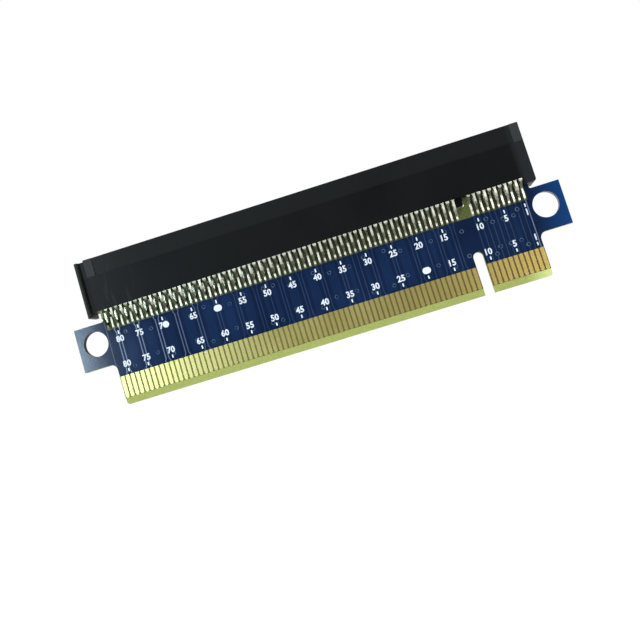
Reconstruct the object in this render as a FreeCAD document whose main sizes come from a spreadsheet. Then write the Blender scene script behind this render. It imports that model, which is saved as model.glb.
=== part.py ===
import FreeCAD, Part
import Sketcher
import math
import os
import re

# PCI Express x16 riser card: a short printed circuit board with a card edge below
# and a slot connector soldered along its top edge, with a screw ear at each end.
# Frame: X along the row of pins with pin 1 at the + end, -Y is the front of the
# board, +Z is up towards the slot. The origin is on the bottom of the card edge,
# in the middle of the board's thickness, at the centre line of the key notch.

doc = FreeCAD.newDocument("riser_card")

# ---------------------------------------------------------------- driving sizes

SIZES = [
    ("pin_pitch", 1.0, "distance between neighbouring pins"),
    ("short_pins", 11, "pins on the short side of the key"),
    ("long_pins", 71, "pins on the long side of the key"),
    ("key_to_pin", 1.5, "key centre line to the nearest pin, each side"),
    ("edge_margin", 0.5, "outermost pin centre to the end of the card edge"),
    ("board_thick", 1.57, "laminate"),
    ("board_top", 18.65, "top edge of the board, on which the connector sits"),
    ("key_width", 1.9, "key notch, with a full round at its top"),
    ("key_height", 8.15, "top of the key notch"),
    ("ear_reach", 6.4, "ear beyond the end of the card edge"),
    ("ear_bottom", 8.15, "underside of the ears"),
    ("ear_top", 16.65, "top edge of the ears"),
    ("ear_hole", 4.9, "screw hole, diameter"),
    ("ear_hole_inset", 3.6, "screw hole centre from the end of the ear"),
    ("ear_hole_height", 12.9, "screw hole centre above the card edge"),
    ("ear_fillet", 1.2, "round where the ears meet the card edge"),
    ("shoulder", 0.8, "upper board beyond the card edge, pin 1 end"),
    ("shoulder_round", 0.4, "round under the shoulder"),
    ("tail_round", 0.8, "round above the ear, last pin end"),
    ("tongue_round", 0.5, "round at the bottom corners of the card edge"),
    ("bevel_height", 1.3, "height of the bevel on the card edge"),
    ("bevel_angle", 20, "bevel, degrees from the face"),
    ("copper_thick", 0.05, "plated fingers and pads"),
    ("finger_width", 0.7, "gold finger"),
    ("mask_thick", 0.03, "solder mask"),
    ("mask_bottom", 5.5, "lower edge of the mask, top of the fingers"),
    ("mask_top", 14.75, "upper edge of the mask, foot of the pads"),
    ("pad_width", 0.62, "solder pad"),
    ("pad_gap", 0.15, "mask edge to pad"),
    ("pad_clear", 0.45, "pad top below the connector"),
    ("housing_width", 7.5, "connector, front to back"),
    ("housing_height", 10.25, "connector, underside to top"),
    ("slot_width", 1.75, "card slot"),
    ("slot_depth", 8.0, "card slot"),
    ("slot_end_clear", 0.5, "card edge to the end of the slot, each end"),
    ("slot_lead_in", 0.5, "chamfer round the mouth of the slot"),
    ("key_rib", 1.7, "rib across the slot at the key"),
    ("end_wall", 1.7, "end wall, pin 1 end"),
    ("end_drop", 1.2, "end wall below the underside, astride the board's shoulder"),
    ("shoulder_clear", 0.15, "end wall to the board's shoulder and its mask"),
    ("side_overhang", 0.2, "side walls stop this far short of the slot's end"),
    ("web_half", 1.75, "half width of the neck that carries the latch rail"),
    ("rail_groove", 1.4, "groove between side walls and latch rail"),
    ("rail_thick", 0.75, "latch rail, along the slot"),
    ("rail_half", 2.75, "latch rail, half its width"),
    ("rail_drop", 0.8, "latch rail below the underside"),
    ("step_depth", 0.2, "recess along the upper part of the side walls"),
    ("step_drop", 3.5, "lower edge of that recess below the top"),
    ("end_block", 1.75, "full width block left at the ends of the recess"),
    ("corner_round", 0.45, "lower corner of the pin 1 end"),
    ("edge_break", 0.25, "chamfer on the upright outer edges"),
    ("post_width", 1.45, "locating post beside the key"),
    ("post_offset", -0.35, "locating post centre from the key centre line"),
    ("post_drop", 1.4, "locating post below the underside"),
    ("post_clear", 0.15, "locating post to its notch in the board"),
    ("post_round", 0.35, "lower corners of the post and of its notch"),
    ("cavity_width", 0.66, "contact cavity, along the slot"),
    ("cavity_wall", 3.15, "outer wall of the cavities from the middle"),
    ("cavity_cover", 1.2, "top of the connector above the cavities"),
    ("contact_thick", 0.2, "contact strip"),
    ("contact_width", 0.42, "contact strip"),
    ("toe_clear", 0.15, "end of the tail above the foot of its pad"),
    ("inner_heel", 17.2, "inner tails reach their pads at this height"),
    ("inner_knee", 18.45, "inner tails turn to the board at this height"),
    ("outer_heel", 15.75, "outer tails reach their pads at this height"),
    ("outer_knee", 17.25, "outer tails turn to the board at this height"),
    ("beam_root", 2.25, "spring beam leaves the wall this far above the underside"),
    ("beam_tip", 3.0, "tip of the spring beam below the top of the connector"),
    ("tip_half", 0.45, "tip of the spring beam from the middle of the slot"),
]

sheet = doc.addObject("Spreadsheet::Sheet", "sizes")
sheet.Label = "driving dimensions"
for row, (name, number, note) in enumerate(SIZES, start=1):
    sheet.set("A%d" % row, name)
    sheet.set("B%d" % row, str(number))
    sheet.set("C%d" % row, note)
    sheet.setAlias("B%d" % row, name)
doc.recompute()


def sized(formula):
    """Write a formula of plain size names as an expression on the sheet."""
    names = {name for name, number, note in SIZES}
    return re.sub(r"[a-z_]+", lambda word: "sizes." + word[0] if word[0] in names else word[0], formula)


def value(formula):
    """The number that a formula of sizes gives."""
    result = sheet.evalExpression(sized(formula))
    return float(getattr(result, "Value", result))


# ------------------------------------------------------- places worked out once

BOARD_FACE = "(board_thick / 2)"
CARD_RIGHT = "(key_to_pin + (short_pins - 1) * pin_pitch + edge_margin)"
CARD_LEFT = "(0 - key_to_pin - (long_pins - 1) * pin_pitch - edge_margin)"
EAR_RIGHT = "(%s + ear_reach)" % CARD_RIGHT
EAR_LEFT = "(%s - ear_reach)" % CARD_LEFT
SHOULDER = "(%s + shoulder)" % CARD_RIGHT
UNDERSIDE = "board_top"
TOP = "(board_top + housing_height)"
SLOT_RIGHT = "(%s + slot_end_clear)" % CARD_RIGHT
SLOT_LEFT = "(%s - slot_end_clear)" % CARD_LEFT
SLOT_FLOOR = "(%s - slot_depth)" % TOP
HOUSING_RIGHT = "(%s + end_wall)" % SLOT_RIGHT
HOUSING_LEFT = "(%s + side_overhang)" % SLOT_LEFT
RAIL_INNER = "(%s - rail_groove)" % HOUSING_LEFT
RAIL_OUTER = "(%s - rail_thick)" % RAIL_INNER
POST_FLOOR = "(board_top - post_drop)"
PAD_FOOT = "(mask_top + pad_gap)"
PAD_HEAD = "(board_top - pad_clear)"
PIN_FIRST = "(key_to_pin + (short_pins - 1) * pin_pitch)"
PIN_AFTER_KEY = "(0 - key_to_pin)"


# -------------------------------------------------------------- modelling tools

def new_body(label):
    body = doc.addObject("PartDesign::Body", label)
    body.Label = label
    return body


def origin_feature(body, role):
    return next(feature for feature in body.Origin.OriginFeatures if feature.Role == role)


def new_sketch(body, role, name, offset="0"):
    """A sketch on one of the body's origin planes, moved along its normal."""
    sketch = body.newObject("Sketcher::SketchObject", name)
    sketch.AttachmentSupport = (origin_feature(body, role), [""])
    sketch.MapMode = "FlatFace"
    sketch.setExpression("AttachmentOffset.Base.z", sized(offset))
    return sketch


def fix_point(sketch, geometry, point, place):
    """Tie a point of the sketch to a pair of formulas, measured from its origin."""
    for kind, formula in zip(("DistanceX", "DistanceY"), place):
        index = sketch.addConstraint(Sketcher.Constraint(kind, -1, 1, geometry, point, value(formula)))
        sketch.setExpression("Constraints[%d]" % index, sized(formula))


def draw_line(sketch, places, closed=True):
    """Straight edges from place to place, each place a pair of formulas."""
    points = [FreeCAD.Vector(value(across), value(up), 0) for across, up in places]
    first = sketch.GeometryCount
    edges = len(points) if closed else len(points) - 1
    for i in range(edges):
        sketch.addGeometry(Part.LineSegment(points[i], points[(i + 1) % len(points)]), False)
    for i in range(edges):
        fix_point(sketch, first + i, 1, places[i])
        if i + 1 < edges:
            sketch.addConstraint(Sketcher.Constraint("Coincident", first + i, 2, first + i + 1, 1))
    if closed:
        sketch.addConstraint(Sketcher.Constraint("Coincident", first + edges - 1, 2, first, 1))
    else:
        fix_point(sketch, first + edges - 1, 2, places[-1])


def draw_box(sketch, left, right, low, high):
    draw_line(sketch, [(left, low), (right, low), (right, high), (left, high)])


def draw_circle(sketch, centre, diameter):
    middle = FreeCAD.Vector(value(centre[0]), value(centre[1]), 0)
    index = sketch.addGeometry(
        Part.Circle(middle, FreeCAD.Vector(0, 0, 1), value(diameter) / 2), False)
    fix_point(sketch, index, 3, centre)
    size = sketch.addConstraint(Sketcher.Constraint("Diameter", index, value(diameter)))
    sketch.setExpression("Constraints[%d]" % size, sized(diameter))


def draw_key(sketch):
    """The key notch: straight sides and a full round top, open below."""
    half = value("key_width / 2")
    spring = value("key_height - key_width / 2")
    reach = value("0 - key_width")
    corners = [(-half, spring), (-half, reach), (half, reach), (half, spring)]
    points = [FreeCAD.Vector(across, up, 0) for across, up in corners]
    for start, end in zip(points, points[1:]):
        sketch.addGeometry(Part.LineSegment(start, end), False)
    middle = FreeCAD.Vector(0, spring, 0)
    circle = Part.Circle(middle, FreeCAD.Vector(0, 0, 1), half)
    sketch.addGeometry(Part.ArcOfCircle(circle, 0, math.pi), False)
    for i in (0, 1):
        sketch.addConstraint(Sketcher.Constraint("Coincident", i, 2, i + 1, 1))
    sketch.addConstraint(Sketcher.Constraint("Coincident", 2, 2, 3, 1))
    sketch.addConstraint(Sketcher.Constraint("Coincident", 3, 2, 0, 1))
    fix_point(sketch, 0, 1, ("0 - key_width / 2", "key_height - key_width / 2"))
    fix_point(sketch, 1, 1, ("0 - key_width / 2", "0 - key_width"))
    fix_point(sketch, 2, 1, ("key_width / 2", "0 - key_width"))
    fix_point(sketch, 3, 3, ("0", "key_height - key_width / 2"))


def draw_corner(sketch, across, up, radius):
    """What a round takes off a lower right corner of the body."""
    right, low, size = value(across), value(up), value(radius)
    start = FreeCAD.Vector(right - size, low, 0)
    tip = FreeCAD.Vector(right, low, 0)
    finish = FreeCAD.Vector(right, low + size, 0)
    circle = Part.Circle(start + FreeCAD.Vector(0, size, 0), FreeCAD.Vector(0, 0, 1), size)
    sketch.addGeometry(Part.LineSegment(start, tip), False)
    sketch.addGeometry(Part.LineSegment(tip, finish), False)
    sketch.addGeometry(Part.ArcOfCircle(circle, -math.pi / 2, 0), False)
    sketch.addConstraint(Sketcher.Constraint("Coincident", 0, 2, 1, 1))
    sketch.addConstraint(Sketcher.Constraint("Coincident", 1, 2, 2, 2))
    sketch.addConstraint(Sketcher.Constraint("Coincident", 2, 1, 0, 1))
    fix_point(sketch, 1, 1, (across, up))
    fix_point(sketch, 0, 1, ("%s - %s" % (across, radius), up))
    fix_point(sketch, 1, 2, (across, "%s + %s" % (up, radius)))
    index = sketch.addConstraint(Sketcher.Constraint("Radius", 2, size))
    sketch.setExpression("Constraints[%d]" % index, sized(radius))


def extrude(body, kind, name, sketch, length, both_ways=False, backwards=False):
    feature = body.newObject("PartDesign::" + kind, name)
    feature.Profile = sketch
    feature.setExpression("Length", sized(length))
    feature.Reversed = backwards
    if both_ways:
        feature.SideType = "Symmetric"
    doc.recompute()
    return feature


def repeat(body, name, features, step, count):
    """Copies of the features towards -X, one pin step after another."""
    pattern = body.newObject("PartDesign::LinearPattern", name)
    pattern.Originals = features
    pattern.Direction = (origin_feature(body, "X_Axis"), [""])
    pattern.Reversed = True
    pattern.Mode = "Spacing"
    pattern.setExpression("Offset", sized(step))
    pattern.setExpression("Occurrences", sized(count))
    body.Tip = pattern
    doc.recompute()
    return pattern


def upright_edges(feature, axis, places, near=0.01):
    """Names of the straight edges along an axis that stand at the given places."""
    names = []
    for number, edge in enumerate(feature.Shape.Edges, start=1):
        start = edge.Vertexes[0].Point
        end = edge.Vertexes[-1].Point
        along = {"X": (1, 2, 0), "Y": (0, 2, 1), "Z": (0, 1, 2)}[axis]
        flat = [abs(start[i] - end[i]) for i in along[:2]]
        if max(flat) > near or abs(start[along[2]] - end[along[2]]) < near:
            continue
        for place in places:
            if all(abs(start[i] - value(p)) < near for i, p in zip(along[:2], place)):
                names.append("Edge%d" % number)
                break
    return names


def dress(body, kind, name, feature, edges, size_name, size):
    """A fillet or chamfer on named edges of the feature before it."""
    result = body.newObject("PartDesign::" + kind, name)
    result.Base = (feature, edges)
    result.setExpression(size_name, sized(size))
    doc.recompute()
    return result


# ---------------------------------------------------------------- circuit board
# Glass-epoxy laminate, routed to its outline in one piece. The card edge is
# bevelled on both faces, and the top edge has a notch for the locating post.

def card_rounds(body, feature):
    """Fillets at the inner and outer corners that the board and its mask share."""
    ears = upright_edges(feature, "Y", [(CARD_RIGHT, "ear_bottom"), (CARD_LEFT, "ear_bottom")])
    feature = dress(body, "Fillet", "ear_rounds", feature, ears, "Radius", "ear_fillet")
    inner = upright_edges(feature, "Y", [(SHOULDER, "ear_top")])
    return dress(body, "Fillet", "shoulder_round", feature, inner, "Radius", "shoulder_round")


board = new_body("circuit_board")
outline = new_sketch(board, "XZ_Plane", "board_outline")
NOTCH_RIGHT = "(post_offset + post_width / 2 + post_clear)"
NOTCH_LEFT = "(post_offset - post_width / 2 - post_clear)"
NOTCH_FLOOR = "(%s - post_clear)" % POST_FLOOR
draw_line(outline, [
    (CARD_RIGHT, "0"), (CARD_RIGHT, "ear_bottom"), (EAR_RIGHT, "ear_bottom"),
    (EAR_RIGHT, "ear_top"), (SHOULDER, "ear_top"), (SHOULDER, "board_top"),
    (NOTCH_RIGHT, "board_top"), (NOTCH_RIGHT, NOTCH_FLOOR),
    (NOTCH_LEFT, NOTCH_FLOOR), (NOTCH_LEFT, "board_top"),
    (CARD_LEFT, "board_top"), (CARD_LEFT, "ear_top"), (EAR_LEFT, "ear_top"),
    (EAR_LEFT, "ear_bottom"), (CARD_LEFT, "ear_bottom"), (CARD_LEFT, "0")])
plate = extrude(board, "Pad", "laminate", outline, "board_thick", both_ways=True)

holes = new_sketch(board, "XZ_Plane", "board_holes")
for end, sign in ((EAR_RIGHT, "-"), (EAR_LEFT, "+")):
    draw_circle(holes, ("%s %s ear_hole_inset" % (end, sign), "ear_hole_height"), "ear_hole")
plate = extrude(board, "Pocket", "ear_holes", holes, "2 * board_thick", both_ways=True)

notch = new_sketch(board, "XZ_Plane", "key_outline")
draw_key(notch)
plate = extrude(board, "Pocket", "key_notch", notch, "2 * board_thick", both_ways=True)

plate = card_rounds(board, plate)
corner = upright_edges(plate, "Y", [(CARD_LEFT, "ear_top")])
plate = dress(board, "Fillet", "last_pin_round", plate, corner, "Radius", "tail_round")
corners = upright_edges(plate, "Y", [(CARD_RIGHT, "0"), (CARD_LEFT, "0")])
plate = dress(board, "Fillet", "tongue_rounds", plate, corners, "Radius", "tongue_round")
corners = upright_edges(plate, "Y", [(NOTCH_RIGHT, NOTCH_FLOOR), (NOTCH_LEFT, NOTCH_FLOOR)])
plate = dress(board, "Fillet", "post_notch_rounds", plate, corners, "Radius", "post_round")

bevel = new_sketch(board, "YZ_Plane", "edge_bevel")
BEVEL_DEPTH = "(bevel_height * tan(bevel_angle * 1deg))"
for side in ("-", "+"):
    face = "0 %s board_thick / 2" % side
    toward = "0 %s (board_thick / 2 - %s)" % (side, BEVEL_DEPTH)
    draw_line(bevel, [(face, "bevel_height"), (face, "0"), (toward, "0")])
extrude(board, "Pocket", "bevels", bevel, "2 * (%s - %s)" % (CARD_RIGHT, CARD_LEFT), both_ways=True)


# ------------------------------------------------------------------ solder mask
# A cured coat on each face, open over the gold fingers and over the pad field.

def solder_mask(label, side):
    """One coat; side is -1 on the front face and +1 on the back face."""
    body = new_body(label)
    face = "%d * board_thick / 2" % -side
    coat = new_sketch(body, "XZ_Plane", label + "_outline", face)
    draw_line(coat, [
        (CARD_RIGHT, "mask_bottom"), (CARD_RIGHT, "ear_bottom"), (EAR_RIGHT, "ear_bottom"),
        (EAR_RIGHT, "ear_top"), (SHOULDER, "ear_top"), (SHOULDER, "board_top"),
        (CARD_RIGHT, "board_top"), (CARD_RIGHT, "mask_top"), (CARD_LEFT, "mask_top"),
        (CARD_LEFT, "ear_top"), (EAR_LEFT, "ear_top"), (EAR_LEFT, "ear_bottom"),
        (CARD_LEFT, "ear_bottom"), (CARD_LEFT, "mask_bottom")])
    layer = extrude(body, "Pad", label + "_coat", coat, "mask_thick", backwards=side > 0)
    gaps = new_sketch(body, "XZ_Plane", label + "_holes")
    for end, sign in ((EAR_RIGHT, "-"), (EAR_LEFT, "+")):
        draw_circle(gaps, ("%s %s ear_hole_inset" % (end, sign), "ear_hole_height"), "ear_hole")
    layer = extrude(body, "Pocket", label + "_bores", gaps, "4 * board_thick", both_ways=True)
    key = new_sketch(body, "XZ_Plane", label + "_key")
    draw_key(key)
    layer = extrude(body, "Pocket", label + "_notch", key, "4 * board_thick", both_ways=True)
    card_rounds(body, layer)
    return body


solder_mask("solder_mask_front", -1)
solder_mask("solder_mask_back", 1)


# ----------------------------------------------------------------- gold fingers
# Hard gold plate on copper, ground off where the bevel starts.

def finger_row(label, side, first, count):
    """One row of fingers on one face, from the first pin towards -X."""
    body = new_body(label)
    sketch = new_sketch(body, "XZ_Plane", label + "_outline", "%d * board_thick / 2" % -side)
    draw_box(sketch, "%s - finger_width / 2" % first, "%s + finger_width / 2" % first,
             "bevel_height", "mask_bottom")
    finger = extrude(body, "Pad", label + "_finger", sketch, "copper_thick", backwards=side > 0)
    repeat(body, label + "_row", [finger], "pin_pitch", count)


for side, face in ((-1, "front"), (1, "back")):
    finger_row("gold_fingers_short_" + face, side, PIN_FIRST, "short_pins")
    finger_row("gold_fingers_long_" + face, side, PIN_AFTER_KEY, "long_pins")


# ------------------------------------------------- contacts and their solder joints
# Each contact is one bent strip. It stands against the outer wall of its cavity,
# its spring beam leans in until its tip presses on the card, and its tail leans
# back in to a pad on the board. Neighbours turn in at two heights, inner and outer.

PAD_SURFACE = "(board_thick / 2 + copper_thick)"
TAIL_MIDDLE = "(%s + contact_thick / 2)" % PAD_SURFACE
WALL_MIDDLE = "(cavity_wall - contact_thick / 2)"
TOE = "(%s + toe_clear)" % PAD_FOOT
SHORT_ODD = "floor((short_pins + 1) / 2)"
SHORT_EVEN = "floor(short_pins / 2)"
LONG_EVEN = "floor((long_pins + 1) / 2)"
LONG_ODD = "floor(long_pins / 2)"


def contact_row(label, side, kind, first, count):
    """Every second contact on one face, from the first one towards -X."""
    body = new_body(label)
    places = [
        (TAIL_MIDDLE, TOE), (TAIL_MIDDLE, kind + "_heel"), (WALL_MIDDLE, kind + "_knee"),
        (WALL_MIDDLE, "%s + beam_root" % UNDERSIDE),
        ("tip_half + contact_thick / 2", "%s - beam_tip" % TOP)]
    path = new_sketch(body, "YZ_Plane", label + "_path", first)
    draw_line(path, [("%d * (%s)" % (side, across), up) for across, up in places], closed=False)
    section = new_sketch(body, "XY_Plane", label + "_section", TOE)
    draw_box(section, "%s - contact_width / 2" % first, "%s + contact_width / 2" % first,
             "%d * %s - contact_thick / 2" % (side, TAIL_MIDDLE),
             "%d * %s + contact_thick / 2" % (side, TAIL_MIDDLE))
    strip = body.newObject("PartDesign::AdditivePipe", label + "_strip")
    strip.Profile = section
    strip.Spine = (path, ["Edge%d" % (i + 1) for i in range(len(places) - 1)])
    strip.Transition = "Right corner"
    doc.recompute()
    repeat(body, label + "_row", [strip], "2 * pin_pitch", count)


def joint_row(label, side, kind, first, count):
    """Pads with their solder, full thickness under the tail and thinner above its bend."""
    body = new_body(label)
    places = [
        (BOARD_FACE, PAD_FOOT), (PAD_SURFACE, PAD_FOOT), (PAD_SURFACE, kind + "_heel"),
        (BOARD_FACE, PAD_HEAD)]
    sketch = new_sketch(body, "YZ_Plane", label + "_outline", first)
    draw_line(sketch, [("%d * (%s)" % (side, across), up) for across, up in places])
    joint = extrude(body, "Pad", label + "_joint", sketch, "pad_width", both_ways=True)
    repeat(body, label + "_row", [joint], "2 * pin_pitch", count)


ROWS = [
    ("short_inner", "inner", PIN_FIRST, SHORT_ODD),
    ("short_outer", "outer", "(%s - pin_pitch)" % PIN_FIRST, SHORT_EVEN),
    ("long_outer", "outer", PIN_AFTER_KEY, LONG_EVEN),
    ("long_inner", "inner", "(%s - pin_pitch)" % PIN_AFTER_KEY, LONG_ODD),
]
for side, face in ((-1, "front"), (1, "back")):
    for name, kind, first, count in ROWS:
        contact_row("contacts_%s_%s" % (name, face), side, kind, first, count)
        joint_row("solder_%s_%s" % (name, face), side, kind, first, count)


# ------------------------------------------------------------ connector housing
# Glass-filled thermoplastic, moulded in one piece: side walls with a cavity for
# every contact, the rib across the slot, the post, the latch rail on its neck and
# an end wall that reaches down astride the board's shoulder.

housing = new_body("connector_housing")
plan = new_sketch(housing, "XY_Plane", "housing_plan", UNDERSIDE)
half_plan = [
    (HOUSING_RIGHT, "housing_width / 2"), (HOUSING_LEFT, "housing_width / 2"),
    (HOUSING_LEFT, "web_half"), (RAIL_INNER, "web_half"),
    (RAIL_INNER, "rail_half"), (RAIL_OUTER, "rail_half")]
draw_line(plan, half_plan + [(across, "0 - " + out) for across, out in reversed(half_plan)])
shell = extrude(housing, "Pad", "housing_block", plan, "housing_height")

for name, left, right, out, drop in (
        ("end_foot", CARD_RIGHT, HOUSING_RIGHT, "housing_width / 2", "end_drop"),
        ("rail_foot", RAIL_OUTER, RAIL_INNER, "rail_half", "rail_drop")):
    foot = new_sketch(housing, "XY_Plane", name + "_plan", UNDERSIDE)
    draw_box(foot, left, right, "0 - " + out, out)
    shell = extrude(housing, "Pad", name, foot, drop, backwards=True)

corners = upright_edges(shell, "Z", [
    (across, sign + out) for across, out in half_plan for sign in ("", "0 - ") if out != "web_half"])
shell = dress(housing, "Chamfer", "upright_edges_broken", shell, corners, "Size", "edge_break")

slot = new_sketch(housing, "XY_Plane", "slot_plan", TOP)
draw_box(slot, "key_rib / 2", SLOT_RIGHT, "0 - slot_width / 2", "slot_width / 2")
draw_box(slot, SLOT_LEFT, "0 - key_rib / 2", "0 - slot_width / 2", "slot_width / 2")
shell = extrude(housing, "Pocket", "card_slot", slot, "slot_depth")
rim = upright_edges(shell, "X", [(out, TOP) for out in ("slot_width / 2", "0 - slot_width / 2")])
rim += upright_edges(shell, "Y", [
    (across, TOP) for across in (SLOT_RIGHT, "key_rib / 2", "0 - key_rib / 2", SLOT_LEFT)])
shell = dress(housing, "Chamfer", "slot_mouth", shell, rim, "Size", "slot_lead_in")

for side in (-1, 1):
    name = "front" if side < 0 else "back"
    band = new_sketch(housing, "XZ_Plane", "recess_" + name, "%d * housing_width / 2" % -side)
    draw_box(band, "%s + end_block" % HOUSING_LEFT, "%s - end_block" % HOUSING_RIGHT,
             "%s - step_drop" % TOP, "%s + step_depth" % TOP)
    shell = extrude(housing, "Pocket", "side_recess_" + name, band, "step_depth", backwards=side > 0)

notch = new_sketch(housing, "XY_Plane", "shoulder_notch_plan", UNDERSIDE)
draw_box(notch, "%s - shoulder" % CARD_RIGHT, "%s + shoulder_clear" % SHOULDER,
         "0 - %s - mask_thick - shoulder_clear" % BOARD_FACE,
         "%s + mask_thick + shoulder_clear" % BOARD_FACE)
shell = extrude(housing, "Pocket", "shoulder_notch", notch, "end_drop")

end = new_sketch(housing, "XZ_Plane", "end_corner")
draw_corner(end, HOUSING_RIGHT, "%s - end_drop" % UNDERSIDE, "corner_round")
shell = extrude(housing, "Pocket", "end_corner_round", end, "2 * housing_width", both_ways=True)

peg = new_sketch(housing, "XY_Plane", "post_plan", UNDERSIDE)
draw_box(peg, "post_offset - post_width / 2", "post_offset + post_width / 2",
         "0 - board_thick / 2", "board_thick / 2")
shell = extrude(housing, "Pad", "locating_post", peg, "post_drop", backwards=True)
corners = upright_edges(shell, "Y", [
    ("post_offset - post_width / 2", POST_FLOOR), ("post_offset + post_width / 2", POST_FLOOR)])
shell = dress(housing, "Fillet", "post_rounds", shell, corners, "Radius", "post_round")

for name, first, count in (
        ("short", PIN_FIRST, "short_pins"), ("long", PIN_AFTER_KEY, "long_pins")):
    cell = new_sketch(housing, "YZ_Plane", "cavity_outline_" + name, first)
    draw_box(cell, "slot_width / 2", "cavity_wall",
             UNDERSIDE + " - cavity_cover", "%s - cavity_cover" % TOP)
    draw_box(cell, "0 - cavity_wall", "0 - slot_width / 2",
             UNDERSIDE + " - cavity_cover", "%s - cavity_cover" % TOP)
    cavity = extrude(housing, "Pocket", "cavities_" + name, cell, "cavity_width", both_ways=True)
    repeat(housing, "cavity_row_" + name, [cavity], "pin_pitch", count)

# ------------------------------------------------------------- check and export

NODES = [item for item in doc.Objects if item.TypeId == "PartDesign::Body"]
doc.recompute()
for item in doc.Objects:
    if {"Invalid", "Error"} & set(item.State):
        raise RuntimeError("%s did not build: %s" % (item.Label, item.State))
os.makedirs("parts", exist_ok=True)
for item in NODES:
    if item.Shape.isNull() or not item.Shape.isValid():
        raise RuntimeError("%s has no valid shape" % item.Label)
    item.Shape.exportStep("parts/%s.step" % item.Label)
    print(item.Label, len(item.Shape.Solids), "solids,", round(item.Shape.Volume, 4), "mm3")
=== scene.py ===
import math
import random

import bmesh
import bpy
from mathutils import Matrix, Vector


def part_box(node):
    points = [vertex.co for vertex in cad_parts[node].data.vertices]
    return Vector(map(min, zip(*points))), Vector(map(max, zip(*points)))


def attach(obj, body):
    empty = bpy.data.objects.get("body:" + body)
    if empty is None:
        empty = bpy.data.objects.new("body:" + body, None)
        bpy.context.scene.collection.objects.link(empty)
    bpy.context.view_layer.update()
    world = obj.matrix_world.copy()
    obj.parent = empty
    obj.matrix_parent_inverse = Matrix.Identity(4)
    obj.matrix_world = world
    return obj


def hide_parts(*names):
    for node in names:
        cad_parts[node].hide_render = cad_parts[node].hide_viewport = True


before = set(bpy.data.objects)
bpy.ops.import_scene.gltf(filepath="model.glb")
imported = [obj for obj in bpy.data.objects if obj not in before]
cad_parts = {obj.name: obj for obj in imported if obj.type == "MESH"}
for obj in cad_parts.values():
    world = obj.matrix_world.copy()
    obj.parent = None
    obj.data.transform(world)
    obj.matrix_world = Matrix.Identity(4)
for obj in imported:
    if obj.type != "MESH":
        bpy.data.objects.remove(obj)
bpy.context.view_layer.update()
mm = 0.001

# ---------------------------------------------------------------- circuit board
# A strip of glass-epoxy laminate, routed to its outline, drilled through both ears
# and ground to a bevel along the card edge. Its faces are clear resin over woven
# glass; wherever it is cut, broken fibre makes it paler and duller. Shade is painted
# between the pads and on the wall of the left screw hole, and a highlight on the cut
# edges towards the right end.

far = 1.0
hole_radius = 2.45 * mm
hole_inset = 3.6 * mm
hole_height = 12.9 * mm
wall_margin = 0.05 * mm
finger_width = 0.7 * mm
long_pins = 71
front_low, front_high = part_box("gold_fingers_long_front")
pin_pitch = (front_high.x - front_low.x - finger_width) / (long_pins - 1)
key_half_width = 1.3 * mm
tongue_height = 5.5 * mm
browned_from, browned_to = -60 * mm, -15 * mm
highlight_corner_from, highlight_corner_to = 7 * mm, 11.5 * mm


def place(tree, kind, inputs=None, **settings):
    """One shader node. An input is a number, a colour or the output of another node."""
    node = tree.nodes.new("ShaderNode" + kind)
    for name, choice in settings.items():
        setattr(node, name, choice)
    for name, source in (inputs or {}).items():
        if isinstance(source, bpy.types.NodeSocket):
            tree.links.new(source, node.inputs[name])
        else:
            node.inputs[name].default_value = source
    return node


def reckon(tree, operation, *values):
    """The result of one sum on numbers or masks."""
    return place(tree, "Math", dict(enumerate(values)), operation=operation).outputs[0]


def ramp(tree, value, start, finish, low=0.0, high=1.0):
    """Low where the value is at start, high where it is at finish, and even between them."""
    return place(tree, "MapRange", {"Value": value, "From Min": start, "From Max": finish,
                                    "To Min": low, "To Max": high}).outputs["Result"]


def spread(tree, mask, low, high):
    """A mask from 0 to 1 turned into a value from low to high."""
    return ramp(tree, mask, 0.0, 1.0, low, high)


def within(tree, value, low, high, fade=0.001 * mm):
    """A mask that is 1 where the value lies between low and high; far, a metre, is no limit."""
    rise = ramp(tree, value, low - fade, low + fade)
    fall = ramp(tree, value, high - fade, high + fade, 1.0, 0.0)
    return reckon(tree, "MULTIPLY", rise, fall)


def blend_colours(tree, share, first, second):
    """The first colour where share is 0 and the second where it is 1."""
    mix = place(tree, "Mix", {"Factor": share}, data_type="RGBA")
    for socket, source in ((mix.inputs[6], first), (mix.inputs[7], second)):
        if isinstance(source, bpy.types.NodeSocket):
            tree.links.new(source, socket)
        else:
            socket.default_value = source
    return mix.outputs[2]


def tinted(tree, base, mask, most, colour):
    """The base colour, taken to another by no more than a share of most where the mask is 1."""
    return blend_colours(tree, spread(tree, mask, 0.0, most), base, colour)


def new_effect(name, inputs, outputs):
    """A shader node group with named sockets, and its two end nodes."""
    tree = bpy.data.node_groups.new(name, "ShaderNodeTree")
    for socket, kind, number in inputs:
        made = tree.interface.new_socket(socket, in_out="INPUT", socket_type="NodeSocket" + kind)
        if number is not None:
            made.default_value = number
    for socket, kind in outputs:
        tree.interface.new_socket(socket, in_out="OUTPUT", socket_type="NodeSocket" + kind)
    return tree, tree.nodes.new("NodeGroupInput"), tree.nodes.new("NodeGroupOutput")


def woven_glass():
    """Warp and weft of the glass cloth under the resin, as a mask from 0 to 1."""
    tree, start, end = new_effect(
        "woven_glass",
        [("Vector", "Vector", None), ("Pitch", "Float", 0.5 * mm)],
        [("Mask", "Float")])
    turns = reckon(tree, "DIVIDE", 2 * math.pi, start.outputs["Pitch"])
    axes = place(tree, "SeparateXYZ", {"Vector": start.outputs["Vector"]}).outputs
    threads = [reckon(tree, "SINE", reckon(tree, "MULTIPLY", axes[axis], turns))
               for axis in ("X", "Z")]
    crossing = reckon(tree, "MULTIPLY", *threads)
    tree.links.new(ramp(tree, crossing, -1.0, 1.0), end.inputs["Mask"])
    return tree


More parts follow.
